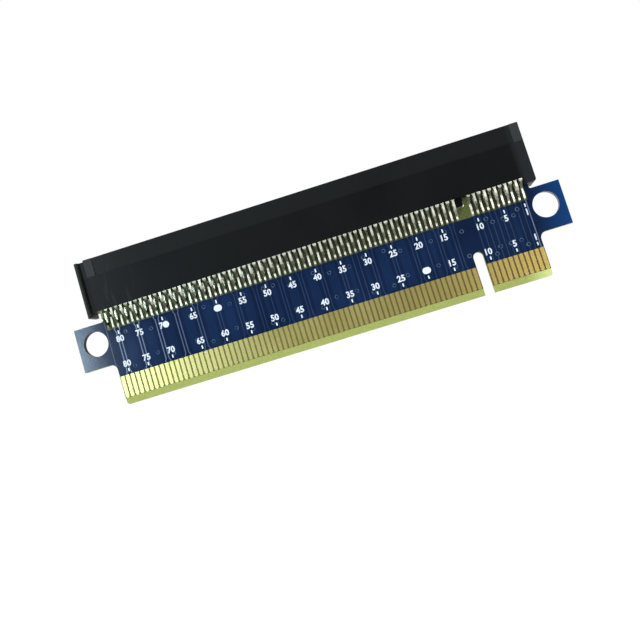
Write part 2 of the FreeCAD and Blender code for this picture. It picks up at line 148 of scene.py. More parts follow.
def surface_grain():
    """Fine speckle and a slow cloud, each from 0 to 1, at sizes given in metres."""
    tree, start, end = new_effect(
        "surface_grain",
        [("Vector", "Vector", None), ("Speck", "Float", 0.2 * mm), ("Cloud", "Float", 8 * mm)],
        [("Specks", "Float"), ("Clouds", "Float")])
    for size, result, detail in (("Speck", "Specks", 2.0), ("Cloud", "Clouds", 3.0)):
        scale = reckon(tree, "DIVIDE", 1.0, start.outputs[size])
        noise = place(tree, "TexNoise", {"Vector": start.outputs["Vector"], "Scale": scale,
                                         "Detail": detail})
        tree.links.new(ramp(tree, noise.outputs["Fac"], 0.3, 0.7), end.inputs[result])
    return tree


WEAVE = woven_glass()
GRAIN = surface_grain()


def grained(tree, where, speck, cloud):
    """The specks and the clouds of a finish, at the sizes that suit it."""
    return place(tree, "Group", {"Vector": where, "Speck": speck, "Cloud": cloud},
                 node_tree=GRAIN).outputs


def roughen(tree, shader, height, strength, depth):
    """Relief too fine to model, which only bends the light."""
    bump = place(tree, "Bump", {"Height": height, "Strength": strength, "Distance": depth})
    tree.links.new(bump.outputs["Normal"], shader.inputs["Normal"])


def new_material(name):
    """An empty material with its shader, its output and the object's own coordinates."""
    material = bpy.data.materials.new(name)
    material.use_nodes = True
    tree = material.node_tree
    tree.nodes.clear()
    shader = place(tree, "BsdfPrincipled")
    end = place(tree, "OutputMaterial")
    tree.links.new(shader.outputs["BSDF"], end.inputs["Surface"])
    where = place(tree, "TexCoord").outputs["Object"]
    return material, tree, shader, where


def drilled(tree, where):
    """A mask over the walls of the two screw holes."""
    board_low, board_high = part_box("circuit_board")
    flat = place(tree, "VectorMath", {0: where, 1: (1, 0, 1)}, operation="MULTIPLY").outputs[0]
    walls = []
    for centre in (board_low.x + hole_inset, board_high.x - hole_inset):
        away = place(tree, "VectorMath", {0: flat, 1: (centre, 0, hole_height)},
                     operation="DISTANCE").outputs["Value"]
        walls.append(reckon(tree, "LESS_THAN", away, hole_radius + wall_margin))
    return reckon(tree, "MAXIMUM", *walls)


def between_pads(tree, along, low, high):
    """A mask between one pad and the next, from a wave that is -1 on a pad and 1 midway."""
    turn = reckon(tree, "MULTIPLY", along, 2 * math.pi / pin_pitch)
    gap = ramp(tree, reckon(tree, "COSINE", turn), low, high)
    beside_key = within(tree, reckon(tree, "ABSOLUTE", along), key_half_width, far, 0.2 * mm)
    return reckon(tree, "MULTIPLY", gap, beside_key)


def laminate_finish():
    material, tree, shader, where = new_material("glass_epoxy_laminate")
    weave = place(tree, "Group", {"Vector": where, "Pitch": 0.9 * mm}, node_tree=WEAVE)
    grain = grained(tree, where, 0.12 * mm, 5 * mm)
    axes = place(tree, "SeparateXYZ", {"Vector": where}).outputs
    normal = place(tree, "NewGeometry").outputs["True Normal"]
    facing = place(tree, "SeparateXYZ", {"Vector": normal}).outputs["Y"]
    cut = reckon(tree, "LESS_THAN", reckon(tree, "ABSOLUTE", facing), 0.98)
    face = blend_colours(tree, weave.outputs["Mask"],
                         (0.065, 0.078, 0.018, 1), (0.105, 0.120, 0.030, 1))
    # Painted shade: the laminate between the pads is darkened where shade falls between the
    # tails.
    shaded = between_pads(tree, axes["X"], -0.6, 0.4)
    face = blend_colours(tree, shaded, face, (0.022, 0.026, 0.008, 1))
    bare = blend_colours(tree, ramp(tree, axes["X"], browned_from, browned_to),
                         (0.150, 0.155, 0.030, 1), (0.115, 0.082, 0.021, 1))
    face = blend_colours(tree, within(tree, axes["Z"], 0, tongue_height), face, bare)
    fibre = blend_colours(tree, grain["Specks"],
                          (0.295, 0.322, 0.076, 1), (0.43, 0.452, 0.135, 1))
    # Painted highlight: towards the right end the cut edges turn paler still.
    corner_highlight = ramp(tree, axes["X"], highlight_corner_from, highlight_corner_to)
    fibre = blend_colours(tree, corner_highlight, fibre, (0.66, 0.72, 0.25, 1))
    bore = blend_colours(tree, grain["Specks"], (0.16, 0.14, 0.12, 1), (0.44, 0.41, 0.39, 1))
    # Painted shade: the wall of the left screw hole is darkened to near black.
    shaded_left_bore = within(tree, axes["X"], -far, 0)
    bore = blend_colours(tree, shaded_left_bore, bore, (0.045, 0.042, 0.036, 1))
    fibre = blend_colours(tree, drilled(tree, where), fibre, bore)
    tree.links.new(blend_colours(tree, cut, face, fibre), shader.inputs["Base Color"])
    tree.links.new(spread(tree, cut, 0.42, 0.75), shader.inputs["Roughness"])
    roughen(tree, shader, grain["Specks"], 0.25, 0.02 * mm)
    shader.inputs["Specular IOR Level"].default_value = 0.12
    return material


def repaint(node, material):
    """Give a CAD node its finish."""
    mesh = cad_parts[node].data
    mesh.materials.clear()
    mesh.materials.append(material)


repaint("circuit_board", laminate_finish())

# ------------------------------------------------------------------ solder mask
# A blue coat, screened on and cured over the etched copper of each face. The copper
# stands up a little under it: a pair of thin traces for each lane, with a ground
# area between one pair and the next, and a ring round every tented via.

mask_low, mask_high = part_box("solder_mask_front")
mask_face = -mask_low.y
short_low, short_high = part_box("gold_fingers_short_front")
short_pins = round((short_high.x - short_low.x - finger_width) / pin_pitch) + 1
first_pin = short_high.x - finger_width / 2
first_long_pin = front_high.x - finger_width / 2
fingers_top = front_high.z
pads_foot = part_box("solder_long_outer_front")[0].z
mask_clearance = 0.15 * mm
mask_top = pads_foot - mask_clearance
mask_thickness = 0.03 * mm
copper_step = 0.016 * mm
copper_top = mask_face + copper_step
trace_width = 0.2 * mm
trace_gap = 0.3 * mm
pair_half_width = 0.31 * mm
trace_straight = 0.35 * mm
trace_bend = 0.7 * mm
area_margin = 0.1 * mm
least_area = 0.4 * mm
ring_step = 0.020 * mm
ring_radius = 0.43 * mm
ring_bank = 0.07 * mm
ring_flat = 0.11 * mm
dimple_bank = 0.08 * mm
odd_via_rows = (13.6 * mm, 6.75 * mm)
even_via_rows = (12.7 * mm, 7.9 * mm)
seam_left = front_low.x - 0.34 * mm
seam_right = front_low.x - 0.22 * mm
trace_glare_from, trace_glare_to = -50 * mm, -68 * mm


def pin_x(pin):
    """Where a pin's centre line is along the card edge."""
    if pin <= short_pins:
        return first_pin - (pin - 1) * pin_pitch
    return first_long_pin - (pin - short_pins - 1) * pin_pitch


def mask_finish(name, dark, light, mottled=False, highlight_ends=None):
    """The cured coat, with a painted highlight in the last colour, if one is given, towards the
    left end and past pin 1.
    """
    material, tree, shader, where = new_material(name)
    grain = grained(tree, where, 0.35 * mm, 9 * mm)
    along = place(tree, "SeparateXYZ", {"Vector": where}).outputs["X"]
    coat = blend_colours(tree, grain["Specks" if mottled else "Clouds"], dark, light)
    ear = ramp(tree, along, pin_x(1) + 0.5 * mm, mask_high.x)
    coat = blend_colours(tree, ear, coat, (0.002, 0.040, 0.150, 1))
    seam = within(tree, along, seam_left, seam_right)
    coat = tinted(tree, coat, seam, 0.8, (0.10, 0.14, 0.20, 1))
    # Painted highlight: the coat turns pale towards the left end and past pin 1.
    if highlight_ends:
        coat = blend_colours(tree, ramp(tree, along, trace_glare_from, trace_glare_to), coat, highlight_ends)
        edge = within(tree, along, pin_x(1) - 0.4 * mm, far)
        coat = tinted(tree, coat, edge, 0.7, highlight_ends)
    tree.links.new(coat, shader.inputs["Base Color"])
    tree.links.new(spread(tree, grain["Clouds"], 0.09, 0.13), shader.inputs["Roughness"])
    roughen(tree, shader, grain["Specks"], 0.10, 0.006 * mm)
    shader.inputs["Specular IOR Level"].default_value = 0.07
    return material


def add_piece(shape, name, material, replaced=(), smooth=None):
    """Turn a bmesh into a piece; edges bent by more than smooth, in degrees, stay sharp."""
    mesh = bpy.data.meshes.new(name)
    shape.to_mesh(mesh)
    shape.free()
    mesh.materials.append(material)
    if smooth:
        mesh.shade_smooth()
        mesh.set_sharp_from_angle(angle=math.radians(smooth))
    piece = bpy.data.objects.new(name, mesh)
    bpy.context.scene.collection.objects.link(piece)
    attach(piece, "root")
    if replaced:
        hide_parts(*replaced)
    return piece


def turn_outward(face, side):
    """Make a flat face look away from the board."""
    face.normal_update()
    if face.normal.y * side < 0:
        face.normal_flip()


def thicken(shape, faces, rise):
    """Raise a copy of flat outward faces, with walls; the operator turns them to the board."""
    grown = bmesh.ops.extrude_face_region(shape, geom=faces, use_keep_orig=True)
    moved = [item for item in grown["geom"] if isinstance(item, bmesh.types.BMVert)]
    bmesh.ops.translate(shape, verts=moved, vec=(0, rise, 0))


def add_plate(shape, points, low, high, side):
    """A flat plate whose outline is given as (x, z) points, from one depth to another."""
    corners = [shape.verts.new((x, side * low, z)) for x, z in points]
    face = shape.faces.new(corners)
    turn_outward(face, side)
    thicken(shape, [face], side * (high - low))


def block_outline(x, width, low, high):
    """The corners of an upright oblong, centred on x."""
    left, right = x - width / 2, x + width / 2
    return [(left, low), (right, low), (right, high), (left, high)]


def add_trace(shape, pin, run_x, side):
    """A strip of copper from a pin's pad to its finger, drawn in to run_x between them."""
    line = [(pin_x(pin), mask_top), (pin_x(pin), mask_top - trace_straight),
            (run_x, mask_top - trace_bend), (run_x, fingers_top + trace_bend),
            (pin_x(pin), fingers_top + trace_straight), (pin_x(pin), fingers_top)]
    right = [(x + trace_width / 2, z) for x, z in line]
    left = [(x - trace_width / 2, z) for x, z in reversed(line)]
    add_plate(shape, right + left, mask_face, copper_top, side)


def add_ring(shape, x, z, side):
    """The raised ring of a via, with the dimple of its filled hole."""
    upright = Matrix.Rotation(-side * math.pi / 2, 4, "X")
    disc = bmesh.ops.create_circle(
        shape, cap_ends=True, segments=14, radius=ring_radius,
        matrix=Matrix.Translation((x, side * mask_face, z)) @ upright)
    face = disc["verts"][0].link_faces[0]
    turn_outward(face, side)
    dimple = 0.8 * (copper_step - ring_step)
    bmesh.ops.inset_region(shape, faces=[face], thickness=ring_bank, depth=ring_step,
                           use_boundary=True)
    bmesh.ops.inset_region(shape, faces=[face], thickness=ring_flat, depth=0)
    face.material_index = 1
    bmesh.ops.inset_region(shape, faces=[face], thickness=dimple_bank, depth=dimple)


def copper_relief(face, side, lanes, single_pins, via_pins):
    """Everything that the copper of one face raises in the mask over it."""
    traces = bmesh.new()
    areas = bmesh.new()
    rings = bmesh.new()
    taken = []
    for pin in lanes:
        middle = (pin_x(pin) + pin_x(pin + 1)) / 2
        add_trace(traces, pin, middle + pair_half_width, side)
        add_trace(traces, pin + 1, middle - pair_half_width, side)
        taken.append((middle - pin_pitch, middle + pin_pitch))
    for pin in single_pins:
        add_trace(traces, pin, pin_x(pin), side)
        taken.append((pin_x(pin) - pin_pitch / 2, pin_x(pin) + pin_pitch / 2))
    taken.sort()
    for (_, start), (finish, _) in zip(taken, taken[1:]):
        over_key = start < 0 < finish
        if finish - start > least_area and not over_key:
            add_plate(areas, block_outline((start + finish) / 2, finish - start - 2 * area_margin,
                                           fingers_top + trace_gap, mask_top - trace_gap),
                      mask_face, copper_top, side)
    for pin in via_pins:
        for z in odd_via_rows if pin % 2 else even_via_rows:
            add_ring(rings, pin_x(pin), z, side)
    vias = add_piece(rings, "via_rings_" + face, RING_MASK_WITH_GLINTS)
    vias.data.materials.append(MASK)
    add_piece(traces, "traces_" + face, TRACE_MASK_WITH_HIGHLIGHT)
    add_piece(areas, "ground_areas_" + face, MASK_OVER_COPPER)


MASK = mask_finish("blue_solder_mask", (0.0018, 0.0085, 0.033, 1), (0.0038, 0.0145, 0.050, 1))
MASK_OVER_COPPER = mask_finish("blue_mask_over_copper",
                               (0.0028, 0.0135, 0.048, 1), (0.0045, 0.020, 0.068, 1))
# Over a via ring the mask is lighter, and it is lightened and mottled further as painted glints.
RING_MASK_WITH_GLINTS = mask_finish("blue_mask_over_ring_painted_glints",
                             (0.008, 0.025, 0.060, 1), (0.085, 0.145, 0.200, 1), mottled=True)
# Over a trace the mask is lighter than over bare laminate, and lighter still as a painted
# highlight on the traces.
TRACE_MASK_WITH_HIGHLIGHT = mask_finish("blue_mask_over_trace_painted_highlight",
                              (0.009, 0.026, 0.074, 1), (0.020, 0.043, 0.105, 1),
                              highlight_ends=(0.16, 0.21, 0.32, 1))
for face in ("front", "back"):
    repaint("solder_mask_" + face, MASK)

# A lane is named by the first of its two pins; a single pin has a trace of its own.
FRONT_LANES = (13, 16, 21, 25, 29, 35, 39, 43, 47, 52, 56, 60, 64, 68, 72, 76, 80)
FRONT_SINGLES = (1, 2, 3, 5, 6, 7, 8, 9, 10, 11, 19, 32, 33, 50)
FRONT_VIAS = (3, 4, 6, 8, 9, 12, 15, 18, 20, 24, 27, 31, 34, 38, 41, 46, 49, 51, 55, 58,
              63, 66, 71, 74, 79)
BACK_LANES = (14, 19, 23, 27, 33, 37, 41, 45, 50, 54, 58, 62, 66, 70, 74, 78)
BACK_SINGLES = (1, 2, 3, 5, 6, 8, 9, 10, 11, 12, 17, 31, 48, 81)
BACK_VIAS = (4, 7, 13, 16, 18, 21, 26, 29, 32, 36, 39, 43, 47, 49, 52, 57, 61, 64, 68,
             73, 77)
copper_relief("front", -1, FRONT_LANES, FRONT_SINGLES, FRONT_VIAS)
copper_relief("back", 1, BACK_LANES, BACK_SINGLES, BACK_VIAS)

# -------------------------------------------------------------- printed numbers
# White ink, screened on the front over the mask: pin 1 and every fifth pin have a tick
# and their number beside the pad and beside the finger. The stencil sits a little to
# one side, is a pin out at 70 and 75, and has flooded a few numbers.

ink_foot = mask_face
ink_over_copper = 0.012 * mm
ink_face = copper_top + ink_over_copper
print_shift = 0.4 * mm
digit_height = 1.25 * mm
digit_narrowing = 0.96
upper_numbers = 12.6 * mm
lower_numbers = 7.65 * mm
blot_length = 1.6 * mm
tick_width = 0.24 * mm
tick_gap = 0.55 * mm
upper_tick = 0.65 * mm
lower_tick = 0.6 * mm
numbered_pins = (1, *range(5, 81, 5))
misplaced_pins = (70, 75)
flooded = ((60, upper_numbers), (20, lower_numbers))
half_flooded = (70, upper_numbers)


def ink_finish():
    material, tree, shader, where = new_material("white_screen_ink")
    grain = grained(tree, where, 0.15 * mm, 3 * mm)
    ink = blend_colours(tree, grain["Specks"], (0.66, 0.72, 0.80, 1), (0.88, 0.92, 0.95, 1))
    tree.links.new(ink, shader.inputs["Base Color"])
    tree.links.new(spread(tree, grain["Clouds"], 0.5, 0.65), shader.inputs["Roughness"])
    shader.inputs["Specular IOR Level"].default_value = 0.3
    return material


def add_words(shape, words, x, z):
    """Digits standing upright on the front face, centred on x and z."""
    letters = bpy.data.curves.new("digits", "FONT")
    letters.body = words
    letters.offset = 0.034
    letters.resolution_u = 3
    holder = bpy.data.objects.new("digits", letters)
    bpy.context.scene.collection.objects.link(holder)
    bpy.context.view_layer.update()
    drawn = holder.evaluated_get(bpy.context.evaluated_depsgraph_get())
    flat = bpy.data.meshes.new_from_object(drawn)
    bpy.data.objects.remove(holder)
    places = [point.co for point in flat.vertices]
    low = Vector((min(p.x for p in places), min(p.y for p in places), 0))
    high = Vector((max(p.x for p in places), max(p.y for p in places), 0))
    scale = digit_height / (high.y - low.y)
    before = set(shape.verts)
    shape.from_mesh(flat)
    new = [vert for vert in shape.verts if vert not in before]
    bmesh.ops.translate(shape, verts=new, vec=-(low + high) / 2)
    bmesh.ops.scale(shape, verts=new, vec=(scale * digit_narrowing, scale, scale))
    bmesh.ops.rotate(shape, verts=new, matrix=Matrix.Rotation(math.pi / 2, 3, "X"))
    bmesh.ops.translate(shape, verts=new, vec=(x, -ink_foot, z))
    bpy.data.meshes.remove(flat)


def add_blot(shape, x, z, length):
    """A number that the stencil has flooded with ink, so that only its outline is left."""
    upright = Matrix.Rotation(math.pi / 2, 4, "X")
    made = bmesh.ops.create_circle(
        shape, cap_ends=True, segments=20, radius=digit_height / 2,
        matrix=Matrix.Translation((x, -ink_foot, z)) @ upright)
    for vert in made["verts"]:
        vert.co.x += math.copysign((length - digit_height) / 2, vert.co.x - x)


def add_tick(shape, x, low, high):
    outline = block_outline(x, tick_width, low, high)
    shape.faces.new([shape.verts.new((across, -ink_foot, up)) for across, up in outline])


legend = bmesh.new()
for pin in numbered_pins:
    x = pin_x(pin + 1 if pin in misplaced_pins else pin) - print_shift
    add_tick(legend, x, mask_top - tick_gap - upper_tick, mask_top - tick_gap)
    add_tick(legend, x, fingers_top + tick_gap, fingers_top + tick_gap + lower_tick)
    for height in (upper_numbers, lower_numbers):
        if (pin, height) in flooded:
            add_blot(legend, x, height, blot_length)
        elif (pin, height) == half_flooded:
            add_words(legend, "7", x - 0.5 * mm, height)
            add_blot(legend, x + 0.4 * mm, height, digit_height)
        else:
            add_words(legend, str(pin), x, height)
printed = legend.faces[:]
for face in printed:
    turn_outward(face, -1)
thicken(legend, printed, ink_foot - ink_face)
add_piece(legend, "pin_numbers_front", ink_finish())

# ----------------------------------------------------------------- gold fingers
# Copper fingers, etched with round feet and plated with nickel and hard gold. The
# plating is satin, with fine scratches that run down the finger where it has slid
# into a slot. Light is painted into its colour: paler towards the left end, and warmer
# and lighter towards pin 1.

foot_steps = 8
lit_right_from, lit_right_to = -10 * mm, 12 * mm
left_glare_from, left_glare_to = -38 * mm, -66 * mm


def gold_finish():
    material, tree, shader, where = new_material("hard_gold_plate")
    grain = grained(tree, where, 0.25 * mm, 9 * mm)
    along = place(tree, "SeparateXYZ", {"Vector": where}).outputs["X"]
    drawn = place(tree, "Mapping", {"Vector": where, "Scale": (1.0, 1.0, 0.06)}).outputs["Vector"]
    scratches = place(tree, "TexNoise", {"Vector": drawn, "Scale": 1 / (0.05 * mm),
                                         "Detail": 1.0}).outputs["Fac"]
    plate = blend_colours(tree, grain["Clouds"],
                          (0.185, 0.152, 0.048, 1), (0.245, 0.208, 0.074, 1))
    # Painted light: towards pin 1 the gold turns warmer and lighter.
    plate = blend_colours(tree, ramp(tree, along, lit_right_from, lit_right_to), plate,
                          (0.29, 0.205, 0.058, 1))
    # Painted highlight: the gold turns paler and brighter towards the left end.
    plate = blend_colours(tree, ramp(tree, along, left_glare_from, left_glare_to), plate,
                          (0.285, 0.262, 0.102, 1))
    plate = tinted(tree, plate, scratches, 0.5, (0.14, 0.12, 0.044, 1))
    tree.links.new(plate, shader.inputs["Base Color"])
    tree.links.new(spread(tree, grain["Specks"], 0.31, 0.38), shader.inputs["Roughness"])
    roughen(tree, shader, scratches, 0.2, 0.004 * mm)
    shader.inputs["Metallic"].default_value = 1.0
    return material


def finger_outline(x, low, high):
    """One finger seen from the front: square where the mask covers it, round at its foot."""
    radius = finger_width / 2
    turns = [-math.pi * step / foot_steps for step in range(foot_steps + 1)]
    foot = [(x + radius * math.cos(turn), low + radius + radius * math.sin(turn))
            for turn in turns]
    return [(x + radius, high)] + foot + [(x - radius, high)]


GOLD = gold_finish()
for length, first, last in (("short", 1, short_pins),
                            ("long", short_pins + 1, short_pins + long_pins)):
    for side, face in ((-1, "front"), (1, "back")):
        node = "gold_fingers_%s_%s" % (length, face)
        low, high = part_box(node)
        inner, outer = sorted((abs(low.y), abs(high.y)))
        shape = bmesh.new()
        for pin in range(first, last + 1):
            add_plate(shape, finger_outline(pin_x(pin), low.z, high.z), inner, outer, side)
        add_piece(shape, "fingers_%s_%s" % (length, face), GOLD, (node,))

# ---------------------------------------------------------------- solder joints
# Each pad is tinned, and the reflowed solder stands in a bright mound round the toe
# of the tail and climbs a little way into the bend above it.

joint_random = random.Random(82)
board_face = mask_face - mask_thickness
pad_face = -front_low.y
pad_width = 0.62 * mm
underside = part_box("circuit_board")[1].z
inner_heel = 17.2 * mm
outer_heel = 15.75 * mm
toe_mound = (0.3 * mm, 0.34 * mm, 0.46 * mm)
toe_mound_rise = 0.32 * mm
heel_mound = (0.27 * mm, 0.36 * mm, 0.42 * mm)
heel_mound_rise = 0.12 * mm
most_drift = 0.04 * mm
most_swell = 0.1
solder_shade_from, solder_shade_to = -50 * mm, -72 * mm
rows = (("short_inner", "inner"), ("short_outer", "outer"),
        ("long_outer", "outer"), ("long_inner", "inner"))


def row_places(node, width):
    """The centre lines along X of the equal pieces that one node holds."""
    low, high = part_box(node)
    count = round((high.x - low.x - width) / (2 * pin_pitch)) + 1
    return [high.x - width / 2 - i * 2 * pin_pitch for i in range(count)]


def solder_finish():
    material, tree, shader, where = new_material("bright_solder")
    grain = grained(tree, where, 0.18 * mm, 2 * mm)
    axes = place(tree, "SeparateXYZ", {"Vector": where}).outputs
    dull = blend_colours(tree, grain["Specks"], (0.060, 0.060, 0.032, 1), (0.36, 0.36, 0.29, 1))
    bright = blend_colours(tree, grain["Specks"], (0.13, 0.13, 0.09, 1), (0.68, 0.68, 0.57, 1))
    # Painted shade: the pads are darkened between one tail and the next.
    shaded = between_pads(tree, axes["X"], -0.75, 0.0)
    dull = blend_colours(tree, shaded, dull, (0.022, 0.025, 0.010, 1))
    # Painted shade: the bright solder darkens towards the left end.
    left_shade = ramp(tree, axes["X"], solder_shade_from, solder_shade_to, 0.0, 0.7)
    bright = blend_colours(tree, left_shade, bright, (0.10, 0.11, 0.05, 1))
    depth = reckon(tree, "ABSOLUTE", axes["Y"])
    proud = within(tree, depth, pad_face + 0.06 * mm, far, 0.05 * mm)
    below_heel = within(tree, axes["Z"], 0, outer_heel, 0.1 * mm)
    toe = reckon(tree, "MULTIPLY", proud, below_heel)
    tree.links.new(blend_colours(tree, toe, dull, bright), shader.inputs["Base Color"])
    tree.links.new(spread(tree, grain["Specks"], 0.16, 0.34), shader.inputs["Roughness"])
    roughen(tree, shader, grain["Specks"], 0.5, 0.03 * mm)
    shader.inputs["Metallic"].default_value = 1.0
    return material


def add_mound(shape, x, z, size, side):
    """Half an egg of solder, flat side on the board."""
    made = bmesh.ops.create_icosphere(shape, subdivisions=2, radius=1.0)["verts"]
    bmesh.ops.scale(shape, verts=made, vec=size)
    below = [vert for vert in made if vert.co.y * side < 0]
    for vert in below:
        vert.co.y = 0
    bmesh.ops.translate(shape, verts=made, vec=(x, side * board_face, z))


def joint_row(name, kind, face, side):
    low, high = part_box("solder_%s_%s" % (name, face))
    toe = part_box("contacts_%s_%s" % (name, face))[0].z
    heel = {"inner": inner_heel, "outer": outer_heel}[kind]
    across, deep, tall = heel_mound
    shape = bmesh.new()
    for x in row_places("solder_%s_%s" % (name, face), pad_width):
        add_plate(shape, block_outline(x, pad_width, low.z, high.z), board_face, pad_face, side)
        drift = joint_random.uniform(-most_drift, most_drift)
        swell = joint_random.uniform(1 - most_swell, 1 + most_swell)
        toe_size = [size * swell for size in toe_mound]
        add_mound(shape, x + drift, toe + toe_mound_rise, toe_size, side)
        add_mound(shape, x - drift, heel + heel_mound_rise, (across, deep * swell, tall), side)
    bmesh.ops.recalc_face_normals(shape, faces=shape.faces)
    add_piece(shape, "joints_%s_%s" % (name, face), SOLDER,
              ("solder_%s_%s" % (name, face),), smooth=50)


SOLDER = solder_finish()
for side, face in ((-1, "front"), (1, "back")):
    for name, kind in rows:
        joint_row(name, kind, face, side)

# --------------------------------------------------------------------- contacts
# Each contact is stamped from tinned copper alloy and bent. A wider shoulder stops it
# under the connector; below that its tail leans in and lies along its pad, and above
# it a spring beam rises to a bump that presses on the card, with a flared tip.

strip_width = 0.42 * mm
strip_thick = 0.2 * mm
tail_width = 0.36 * mm
shoulder_width = 0.68 * mm
shoulder_rise = 0.1 * mm
shoulder_taper = 0.06 * mm
inner_knee = 18.45 * mm
outer_knee = 17.25 * mm
outer_shoulder = underside - 0.18 * mm
wall_depth = 3.05 * mm
beam_rise = 2.25 * mm
bump_depth = 0.55 * mm
bump_drop = 3.1 * mm
tip_flare = 0.75 * mm
tip_drop = 1.6 * mm
bend_reach = 0.3 * mm
least_bend = 0.2
fleck_from, fleck_to = -20 * mm, 2 * mm
tin_shade_from, tin_shade_to = -42 * mm, -72 * mm


def contact_finish():
    """Tin: bright above and speckled on the pad, with painted shade where the tail slopes,
    deepest low down, and towards the left end.
    """
    material, tree, shader, where = new_material("tinned_contact_strip")
    grain = grained(tree, where, 0.15 * mm, 3 * mm)
    specks = grain["Specks"]
    axes = place(tree, "SeparateXYZ", {"Vector": where}).outputs
    depth = reckon(tree, "ABSOLUTE", axes["Y"])
    bright = blend_colours(tree, grain["Clouds"], (0.33, 0.33, 0.265, 1), (0.47, 0.47, 0.39, 1))
    low_slope_shade = blend_colours(tree, specks, (0.040, 0.043, 0.020, 1), (0.18, 0.18, 0.115, 1))
    slope_shade = blend_colours(tree, specks, (0.055, 0.058, 0.030, 1), (0.24, 0.24, 0.17, 1))
    laid = blend_colours(tree, specks, (0.20, 0.20, 0.145, 1), (0.74, 0.74, 0.61, 1))
    flecked = blend_colours(tree, within(tree, specks, 0.42, 1.0, 0.12),
                            (0.030, 0.030, 0.018, 1), (0.62, 0.61, 0.50, 1))
    slope = within(tree, depth, pad_face + 0.38 * mm, wall_depth - 0.35 * mm, 0.08 * mm)
    lower = within(tree, axes["Z"], 0, inner_heel + 0.1 * mm, 0.2 * mm)
    lying = within(tree, depth, 0, pad_face + 0.42 * mm, 0.1 * mm)
    fleck_share = ramp(tree, axes["X"], fleck_from, fleck_to, 0.0, 0.55)
    left_shade = ramp(tree, axes["X"], tin_shade_from, tin_shade_to, 0.0, 0.6)
    leftmost_shade = within(tree, axes["X"], -far, pin_x(82) + 0.4 * mm, 0.1 * mm)
    colour = blend_colours(tree, lying, bright, laid)
    # Painted shade: where the tail slopes the tin is darkened, most of all low down.
    colour = blend_colours(tree, slope, colour, slope_shade)
    colour = blend_colours(tree, reckon(tree, "MULTIPLY", slope, lower), colour, low_slope_shade)
    # Towards the right end the sloping tail breaks into dark and bright flecks.
    colour = blend_colours(tree, reckon(tree, "MULTIPLY", slope, fleck_share), colour, flecked)
    # Painted shade: the tin darkens towards the left end.
    colour = blend_colours(tree, left_shade, colour, (0.085, 0.090, 0.035, 1))
    # Painted shade: the leftmost contact is darkened to olive.
    colour = tinted(tree, colour, leftmost_shade, 0.85, (0.040, 0.048, 0.010, 1))
    tree.links.new(colour, shader.inputs["Base Color"])
    polish = spread(tree, specks, 0.24, 0.36)
    dulled = reckon(tree, "MULTIPLY_ADD", left_shade, 0.22, polish)
    tree.links.new(dulled, shader.inputs["Roughness"])
    roughen(tree, shader, specks, 0.3, 0.012 * mm)
    shader.inputs["Metallic"].default_value = 1.0
    return material


def contact_line(kind, toe, wall, tail, top):
    """One contact seen along the row: depth, height and width of the line down its middle."""
    heel, knee, shoulder = {"inner": (inner_heel, inner_knee, inner_knee),
                            "outer": (outer_heel, outer_knee, outer_shoulder)}[kind]
    line = [(tail + tip_flare, top - tip_drop, strip_width),
            (bump_depth, top - bump_drop, strip_width),
            (wall, underside + beam_rise, strip_width),
            (wall, underside + shoulder_rise, shoulder_width),
            (wall, shoulder + shoulder_taper, shoulder_width),
            (wall, shoulder, strip_width)]
    if kind == "outer":
        line.append((wall, knee, strip_width))
    return line + [(tail, heel, tail_width), (tail, toe, tail_width)]


def is_bend(edge):
    """True of a level edge where the strip turns by more than least_bend, in radians."""
    first, second = edge.verts
    level = abs(first.co.z - second.co.z) < 0.0001 * mm
    return level and len(edge.link_faces) == 2 and edge.calc_face_angle() > least_bend


def contact_row(name, kind, face, side):
    node = "contacts_%s_%s" % (name, face)
    low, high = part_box(node)
    wall = max(abs(low.y), abs(high.y)) - strip_thick / 2
    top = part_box("connector_housing")[1].z
    line = contact_line(kind, low.z, wall, pad_face + strip_thick / 2, top)
    shape = bmesh.new()
    for x in row_places(node, strip_width):
        left = [shape.verts.new((x - width / 2, side * depth, up)) for depth, up, width in line]
        edges = [shape.edges.new(pair) for pair in zip(left, left[1:])]
        grown = bmesh.ops.extrude_edge_only(shape, edges=edges)
        for vert in grown["geom"]:
            if isinstance(vert, bmesh.types.BMVert):
                vert.co.x = 2 * x - vert.co.x
    bends = [edge for edge in shape.edges if is_bend(edge)]
    bmesh.ops.bevel(shape, geom=bends, offset=bend_reach, offset_type="OFFSET", affect="EDGES",
                    segments=2, profile=0.5, material=-1)
    bmesh.ops.recalc_face_normals(shape, faces=shape.faces)
    bmesh.ops.solidify(shape, geom=shape.faces[:], thickness=strip_thick)
    add_piece(shape, "pins_%s_%s" % (name, face), TIN, (node,), smooth=40)


TIN = contact_finish()
for side, face in ((-1, "front"), (1, "back")):
    for name, kind in rows:
        contact_row(name, kind, face, side)

# ------------------------------------------------------------ connector housing
# Black glass-filled thermoplastic, moulded in one piece. The skin is satin with a
# faint cloud. A grey sheen is painted along the top band, on the right end strip, at
# the end blocks, and in streaks beside the clip rail towards the left end.

end_block = 1.75 * mm
end_strip = 2.3 * mm
recess_drop = 3.5 * mm
rail_width = 2.15 * mm
clip_width = 0.8 * mm
sheen_width = 14 * mm


